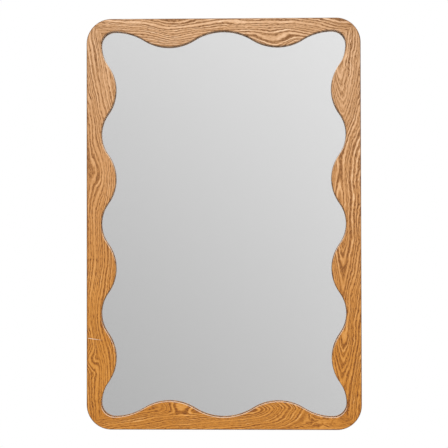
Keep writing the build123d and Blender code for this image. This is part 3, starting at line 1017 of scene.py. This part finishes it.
# %% [markdown]
# ## Metal, its kinds
#
# Zinc, nickel and plain steel differ only in their colours and in how strong the wear is,
# so one recipe serves for all. A strap is sheet folded double, and the fold shows as a fine
# dark line along its edges, halfway through its thickness.

# %% Zinc, nickel and steel
STRAP_SHEET = 0.8 * MM
SCRATCH_BRIGHT = srgb(232, 233, 235)
FOLD_DARK = srgb(46, 46, 48)
ZINC = (srgb(176, 180, 185), srgb(214, 216, 218))


def fold_line(tree, point, seam):
    """The mask of the line between two leaves of sheet that meet at this place on Y."""
    away = calc(tree, "ABSOLUTE", calc(tree, "SUBTRACT", xyz(tree, point)[1], seam))
    line = fade_out(tree, away, 0.02 * MM, 0.09 * MM)
    return product(tree, line, fade_out(tree, facing(tree), 0.1, 0.4))


def plated(name, dark, pale, smooth, rough, wear, seam=None):
    """A metal between two shades and two roughnesses; seam is where a fold's line lies."""
    def recipe(tree, point):
        patch, scratch = use_group(tree, worn, point=point, wear=wear)
        colour = blend(tree, patch, dark, pale)
        colour = blend(tree, calc(tree, "MULTIPLY", scratch, 0.5), colour, SCRATCH_BRIGHT)
        if seam is not None:
            colour = blend(tree, fold_line(tree, point, seam), colour, FOLD_DARK)
        roughness = calc(tree, "MULTIPLY_ADD", patch, rough - smooth, smooth)
        return {
            "Base Color": colour,
            "Roughness": calc(tree, "MULTIPLY_ADD", scratch, 0.15, roughness),
            "Relief": (calc(tree, "MULTIPLY", scratch, -1.0), 0.01 * MM),
        }
    return finish(name, recipe, {"Metallic": 1.0})


zinc = plated("zinc_plate_bright", *ZINC, 0.26, 0.42, 0.6)
strap_zinc = plated("zinc_plate_folded", *ZINC, 0.28, 0.44, 0.6, seam=BACK + STRAP_SHEET)
nickel = plated("nickel_wire", srgb(196, 193, 186), srgb(222, 219, 212), 0.16, 0.28, 0.4)
screw_steel = plated("screw_zinc", srgb(186, 186, 180), srgb(220, 219, 212), 0.24, 0.40, 0.5)
nail_steel = plated("nail_strip_steel", srgb(122, 123, 126), srgb(158, 158, 160), 0.34, 0.52, 0.7)

# %% [markdown]
# ## Corner pieces
#
# A beech dowel runs across each mitre inside the wood, and two bent steel nails are pressed
# in from behind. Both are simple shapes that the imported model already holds, so they stay as
# they are and only get their finish.

# %% Dowels and V nails
def beech_grain(tree, point):
    """The recipe of raw beech: pale streaks with darker flecks, its rays, in them."""
    streaks = noise(tree, point, (500, 500, 500), 3.0, 0.65)
    rays = calc(tree, "MULTIPLY", specks(tree, point, (900, 900, 500), 0.10, 0.22), 0.5)
    colour = blend(tree, fade(tree, streaks, 0.3, 0.7), srgb(196, 156, 112), srgb(222, 186, 144))
    return {"Base Color": blend(tree, rays, colour, srgb(160, 112, 72)), "Roughness": streaks}


dress("corner_dowels", finish("beech_raw", beech_grain))
dress("corner_v_nails", nail_steel)

# %% [markdown]
# ## Turn buttons and straps
#
# The buttons are punched from sheet, which leaves a soft edge on one side; the straps are
# sheet too, folded double round the ring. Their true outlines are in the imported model, so
# softened copies of them are enough.

# %% Turn buttons and straps
BUTTON_EDGE = 0.22 * MM
STRAP_EDGE = 0.16 * MM

for node in sorted(frame["nodes"]):
    if node.startswith("turn_button_") and node != "turn_button_screws":
        softened(node, zinc, BUTTON_EDGE)
    elif node.startswith("hanger_strap_"):
        softened(node, strap_zinc, STRAP_EDGE)

# %% [markdown]
# ## D rings, the wire
#
# Each ring is one length of round wire, bent to a D whose straight side lies in the strap's
# loop. That is just what the spin and extrude operators do: a circle is drawn out for each
# straight run and spun for each bend, in the ring's own flat frame.

# %% Bend the wire
WIRE = 2.5 * MM
WIRE_SIDES = 20
RING_INNER = 14.0 * MM           # clear width inside the ring
CORNER_BEND = 2.0 * MM           # radius of the two small bends, to the wire's middle
CORNER_STEPS = 8
BOW_STEPS = 28
ARM = 4.0 * MM                   # straight run beside the strap


def spin(bm, geom, centre, angle, steps, advance=0.0, merge=False):
    """Spins geometry about a line along Z and shifts it up that line by advance at each step."""
    return bmesh.ops.spin(
        bm, geom=geom, cent=centre, axis=(0, 0, 1), dvec=(0, 0, advance), angle=angle,
        steps=steps, use_merge=merge, use_duplicate=False)["geom_last"]


def draw_out(bm, end, step):
    """Draws the wire's open end straight out by this step; gives the new end."""
    made = bmesh.ops.extrude_edge_only(bm, edges=end)["geom"]
    bmesh.ops.translate(bm, vec=step, verts=[g for g in made if isinstance(g, bmesh.types.BMVert)])
    return [g for g in made if isinstance(g, bmesh.types.BMEdge) and g.is_boundary]


def bend(bm, end, centre, degrees, steps):
    """Spins the wire's open end about a centre in the ring's flat; gives the new end."""
    made = spin(bm, end, centre, math.radians(degrees), steps)
    return [g for g in made if isinstance(g, bmesh.types.BMEdge)]


def d_ring():
    """A D of wire whose straight side lies along Y at the origin, and how far its bow reaches."""
    half = (RING_INNER + WIRE) / 2
    shoulder = half - CORNER_BEND
    across_wire = Matrix.Rotation(math.pi / 2, 4, "X")
    bm = bmesh.new()
    bmesh.ops.create_circle(
        bm, segments=WIRE_SIDES, radius=WIRE / 2,
        matrix=Matrix.Translation((0, -shoulder, 0)) @ across_wire)
    end = draw_out(bm, bm.edges[:], (0, 2 * shoulder, 0))
    end = bend(bm, end, (CORNER_BEND, shoulder, 0), -90, CORNER_STEPS)
    end = draw_out(bm, end, (ARM, 0, 0))
    end = bend(bm, end, (CORNER_BEND + ARM, 0, 0), -180, BOW_STEPS)
    end = draw_out(bm, end, (-ARM, 0, 0))
    bend(bm, end, (CORNER_BEND, -shoulder, 0), -90, CORNER_STEPS)
    bmesh.ops.remove_doubles(bm, verts=bm.verts, dist=10 * MERGE_DISTANCE)
    bmesh.ops.recalc_face_normals(bm, faces=bm.faces)
    return bm, CORNER_BEND + ARM + half


# %% [markdown]
# ## D rings, their place
#
# A ring's place comes from its joint: it swings about the joint's axis and leans until it
# nearly touches the wood. A matrix with the ring's three directions as its columns carries
# the flat D there.

# %% Hang the four rings
REST_GAP = 0.3 * MM              # between the ring and the wood

for joint in frame["joints"]:
    node = joint["child"]
    if not node.startswith("hanger_ring_"):
        continue
    pivot = Vector(joint["pos_m"])
    out = Vector((0, 1, 0))
    turn = -Vector(joint["axis"])
    lift = pivot.y - BACK
    bm, reach = d_ring()
    lean = math.asin((lift - WIRE / 2 - REST_GAP) / reach)
    flat = Matrix((turn.cross(out), turn, out)).transposed().to_4x4()
    place = Matrix.Translation(pivot) @ flat @ Matrix.Rotation(lean, 4, "Y")
    bmesh.ops.transform(bm, matrix=place, verts=bm.verts)
    stand_for(new_piece(node + "_finished", bm, smooth_angle=60), node, nickel)

# %% [markdown]
# ## Screws, the body
#
# Every screw is the same: a rounded pan head with a cross recess, and a threaded shank that
# is hidden in the wood. Its body is a half outline spun about the screw's axis, which stays
# open on top of the head for the cross.

# %% Turn the body of a screw
# half outline from the rim of the head's flat top down to the tip: radius and height in mm
SCREW_OUTLINE = [
    (2.1, 2.2), (2.7, 2.05), (3.15, 1.6), (3.4, 1.0), (3.5, 0.4), (3.5, 0.0),
    (1.35, 0.0), (1.3, -10.2), (0.15, -12.0),
]
SCREW_SIDES = 24
HEAD_HEIGHT = SCREW_OUTLINE[0][1] * MM
ORIGIN = (0, 0, 0)


def loop_of(bm, points, close=True):
    """Vertices at these points with an edge from each to the next."""
    verts = [bm.verts.new(point) for point in points]
    ends = verts[1:] + verts[:1] if close else verts[1:]
    return verts, [bm.edges.new(pair) for pair in zip(verts, ends)]


def open_rims(bm):
    """The edges round all holes."""
    return [edge for edge in bm.edges if edge.is_boundary]


def turn_body(bm):
    """Spins the half outline and closes the tip."""
    verts, edges = loop_of(bm, [(r * MM, 0, z * MM) for r, z in SCREW_OUTLINE], close=False)
    spin(bm, verts + edges, ORIGIN, 2 * math.pi, SCREW_SIDES, merge=True)
    tip = [edge for edge in open_rims(bm) if edge.verts[0].co.z < 0]
    bmesh.ops.holes_fill(bm, edges=tip, sides=0)


# %% [markdown]
# ## Screws, the cross and the thread
#
# The recess is a cross that narrows on its way down. Its outline is drawn in the head's
# open top, the flat round it is filled, and then the outline is extruded, made smaller,
# sunk and closed at its foot. The thread is a small triangle that moves down the shank a
# little with each step of its spin.

# %% Cut the cross and wind the thread
RECESS_ARM = 1.7 * MM
RECESS_HALF = 0.45 * MM
RECESS_DEPTH = 1.3 * MM
RECESS_TAPER = 0.5               # size of the recess at its foot
CROSS_QUARTER = [(RECESS_ARM, -RECESS_HALF), (RECESS_ARM, RECESS_HALF), (RECESS_HALF, RECESS_HALF)]
THREAD_PITCH = 1.4 * MM
THREAD_TURNS = 6
THREAD_STEPS = 16                # to a turn
THREAD_SECTION = [(1.2, -2.2), (1.75, -2.5), (1.2, -2.8)]


def cut_cross(bm):
    """Closes the head's top round a cross and sinks the cross into the head."""
    crown = open_rims(bm)
    corners = []
    for quarter in range(4):
        quarter_turn = Matrix.Rotation(quarter * math.pi / 2, 3, "Z")
        corners += [quarter_turn @ Vector((x, y, HEAD_HEIGHT)) for x, y in CROSS_QUARTER]
    cross = loop_of(bm, corners)[1]
    bmesh.ops.triangle_fill(bm, edges=crown + cross, use_beauty=True, normal=(0, 0, 1))
    made = bmesh.ops.extrude_edge_only(bm, edges=cross)["geom"]
    foot = [g for g in made if isinstance(g, bmesh.types.BMVert)]
    bmesh.ops.scale(bm, vec=(RECESS_TAPER, RECESS_TAPER, 1), verts=foot)
    bmesh.ops.translate(bm, vec=(0, 0, -RECESS_DEPTH), verts=foot)
    bmesh.ops.holes_fill(bm, edges=open_rims(bm), sides=0)


def wind_thread(bm):
    """Winds a small triangle down the shank and closes it at both ends."""
    verts, edges = loop_of(bm, [(r * MM, 0, z * MM) for r, z in THREAD_SECTION])
    spin(
        bm, verts + edges, ORIGIN, 2 * math.pi * THREAD_TURNS, THREAD_STEPS * THREAD_TURNS,
        advance=-THREAD_PITCH / THREAD_STEPS)
    bmesh.ops.holes_fill(bm, edges=open_rims(bm), sides=0)


def one_screw():
    """A screw along Z whose head lies on the plane z = 0."""
    bm = bmesh.new()
    turn_body(bm)
    cut_cross(bm)
    wind_thread(bm)
    bmesh.ops.recalc_face_normals(bm, faces=bm.faces)
    low = min(vert.co.z for vert in bm.verts)
    open_edges = sum(not edge.is_manifold for edge in bm.edges)
    print(f"screw: {len(bm.faces)} faces, {open_edges} open edges, tip at {low / MM:.1f} mm")
    mesh = bpy.data.meshes.new("one_screw")
    bm.to_mesh(mesh)
    bm.free()
    return mesh


screw_mesh = one_screw()

# %% [markdown]
# ## Screws, driven in
#
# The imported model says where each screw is: the solids of a node are told apart by walking
# from vertex to vertex, and each solid's box gives a screw its place. The heads stand as the
# driver left them, so each cross is turned another way.

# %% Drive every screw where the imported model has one
SLOT_TURN = math.radians(137.5)  # from one screw's cross to the next one's
HEAD_TO_BACK = Matrix(((0, 1, 0), (0, 0, 1), (1, 0, 0))).to_4x4()  # turns Z to Y


def solids_of(node):
    """The low and high corners of each separate solid in a node, in a fixed order."""
    bm = cad_copy(node)
    waiting = set(bm.verts)
    boxes = []
    while waiting:
        found = [waiting.pop()]
        for vert in found:
            near = {edge.other_vert(vert) for edge in vert.link_edges} & waiting
            waiting -= near
            found.extend(near)
        low = Vector([min(vert.co[axis] for vert in found) for axis in range(3)])
        high = Vector([max(vert.co[axis] for vert in found) for axis in range(3)])
        boxes.append((low, high))
    bm.free()
    return sorted(boxes, key=lambda box: (round(box[0].x, 5), round(box[0].z, 5)))


def drive_screws(node):
    """One piece with a screw in the place of each of the node's solids."""
    bm = bmesh.new()
    solids = solids_of(node)
    for index, (low, high) in enumerate(solids):
        head = Vector(((low.x + high.x) / 2, high.y - HEAD_HEIGHT, (low.z + high.z) / 2))
        before = len(bm.verts)
        bm.from_mesh(screw_mesh)
        bm.verts.ensure_lookup_table()
        place = Matrix.Translation(head) @ HEAD_TO_BACK @ Matrix.Rotation(index * SLOT_TURN, 4, "Z")
        bmesh.ops.transform(bm, matrix=place, verts=bm.verts[before:])
    print(node, "screws:", len(solids))
    stand_for(new_piece(node + "_finished", bm, smooth_angle=35), node, screw_steel)


drive_screws("turn_button_screws")
drive_screws("hanger_screws")
bpy.data.meshes.remove(screw_mesh)
